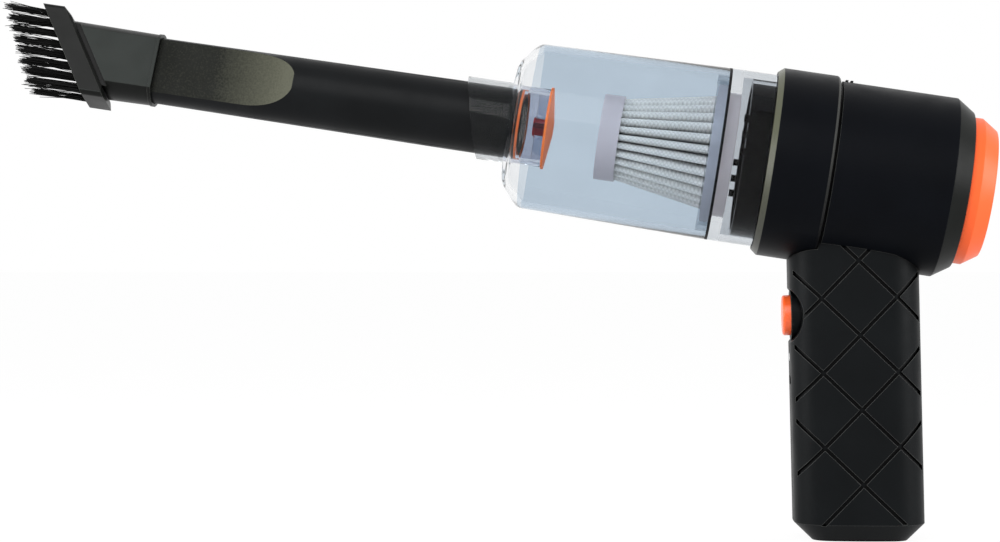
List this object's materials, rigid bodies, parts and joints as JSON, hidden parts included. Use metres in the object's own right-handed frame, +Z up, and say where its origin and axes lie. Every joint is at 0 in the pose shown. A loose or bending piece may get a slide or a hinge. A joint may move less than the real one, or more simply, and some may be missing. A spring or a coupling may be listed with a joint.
{
  "type": "cordless hand vacuum cleaner",
  "caption": "Pistol-grip cordless hand vacuum with a clear dust cup, cone filter, crevice nozzle with slide-on brush, motor and fan, battery grip and thumb button.",
  "frame": {"origin": "middle of the flat face under the grip", "axes": "+Z up the grip, +X towards the exhaust cap (away from the nozzle), +Y to the holder's right, the side of the screws"},
  "size_m": [0.3677, 0.0694, 0.1982],
  "materials": {
    "shell_black": "moulded ABS, fine spark-eroded texture, satin",
    "collar_black": "moulded ABS, satin",
    "cap_orange": "moulded orange ABS, satin",
    "button_orange": "moulded orange ABS, satin",
    "cup_smoke": "clear styrene with a light smoke tint, polished",
    "carrier_clear": "clear styrene, polished",
    "valve_orange": "orange silicone",
    "gasket_black": "black rubber",
    "filter_paper": "embossed white filter paper",
    "filter_plastic": "moulded light grey plastic",
    "nozzle_black": "moulded polypropylene, fine grain",
    "bristle_black": "nylon bristle",
    "fan_grey": "moulded nylon",
    "motor_steel": "drawn and plated steel",
    "magnet_grey": "ferrite",
    "core_steel": "stacked electrical steel",
    "copper": "copper and brass",
    "carbon": "pressed carbon",
    "damper_rubber": "soft rubber",
    "cell_wrap": null,
    "holder_black": "moulded ABS",
    "nickel": "nickel strip",
    "board_green": "solder mask on fibre board",
    "light_white": "milky light pipe",
    "screw_steel": "blackened steel"
  },
  "bodies": {
    "handset": {"left_shell": "shell_black", "right_shell": "shell_black", "front_collar": "collar_black", "exhaust_cap": "cap_orange", "motor_neck": "collar_black", "fan_shroud": "fan_grey", "diffuser": "fan_grey", "motor_can": "motor_steel", "motor_end_bell": "holder_black", "motor_terminals": "copper", "motor_bushes": "copper", "motor_magnets": "magnet_grey", "carbon_brushes": "carbon", "motor_screws": "screw_steel", "motor_damper": "damper_rubber", "push_switch": "holder_black", "control_board": "board_green", "charge_port": "motor_steel", "charge_light": "light_white", "front_cell": "cell_wrap", "rear_cell": "cell_wrap", "battery_holder": "holder_black", "cell_strips": "nickel", "housing_screws": "screw_steel"},
    "rotor": {"impeller": "fan_grey", "motor_shaft": "motor_steel", "armature": "core_steel", "commutator": "copper"},
    "power_button": {"power_button": "button_orange", "switch_plunger": "holder_black"},
    "filter_carrier": {"filter_carrier": "carrier_clear", "cup_gasket": "gasket_black"},
    "filter": {"filter_base": "filter_plastic", "filter_pleats": "filter_paper", "filter_end_cap": "filter_plastic"},
    "dust_cup": {"dust_cup": "cup_smoke", "inlet_valve": "valve_orange"},
    "nozzle_seal": {"nozzle_seal": "valve_orange"},
    "nozzle": {"crevice_nozzle": "nozzle_black"},
    "brush": {"brush_head": "nozzle_black", "brush_bristles": "bristle_black"}
  },
  "joints": [
    {"name": "button_press", "type": "slide", "parent": "handset", "child": "power_button", "axis": [0.9997, 0, 0.0227], "range_m": [0, 0.0015], "stiffness_N_per_m": 600, "springref_m": -0.0005},
    {"name": "rotor_spin", "type": "hinge", "parent": "handset", "child": "rotor", "pos_m": [-0.0022, 0, 0.1337], "axis": [0.9886, 0, -0.1504], "continuous": true},
    {"name": "cup_twist", "type": "hinge", "parent": "handset", "child": "filter_carrier", "pos_m": [-0.0022, 0, 0.1337], "axis": [0.9886, 0, -0.1504], "range_deg": [0, 34]},
    {"name": "filter_pull", "type": "slide", "parent": "filter_carrier", "child": "filter", "axis": [-0.9886, 0, 0.1504], "range_m": [0, 0.012]},
    {"name": "cup_pull", "type": "slide", "parent": "filter_carrier", "child": "dust_cup", "axis": [-0.9886, 0, 0.1504], "range_m": [0, 0.05]},
    {"name": "nozzle_pull", "type": "slide", "parent": "dust_cup", "child": "nozzle_seal", "axis": [-0.9886, 0, 0.1504], "range_m": [0, 0.028]},
    {"name": "nozzle_turn", "type": "hinge", "parent": "nozzle_seal", "child": "nozzle", "pos_m": [-0.0022, 0, 0.1337], "axis": [0.9886, 0, -0.1504], "continuous": true},
    {"name": "brush_pull", "type": "slide", "parent": "nozzle", "child": "brush", "axis": [-0.9886, 0, 0.1504], "range_m": [0, 0.02]}
  ]
}
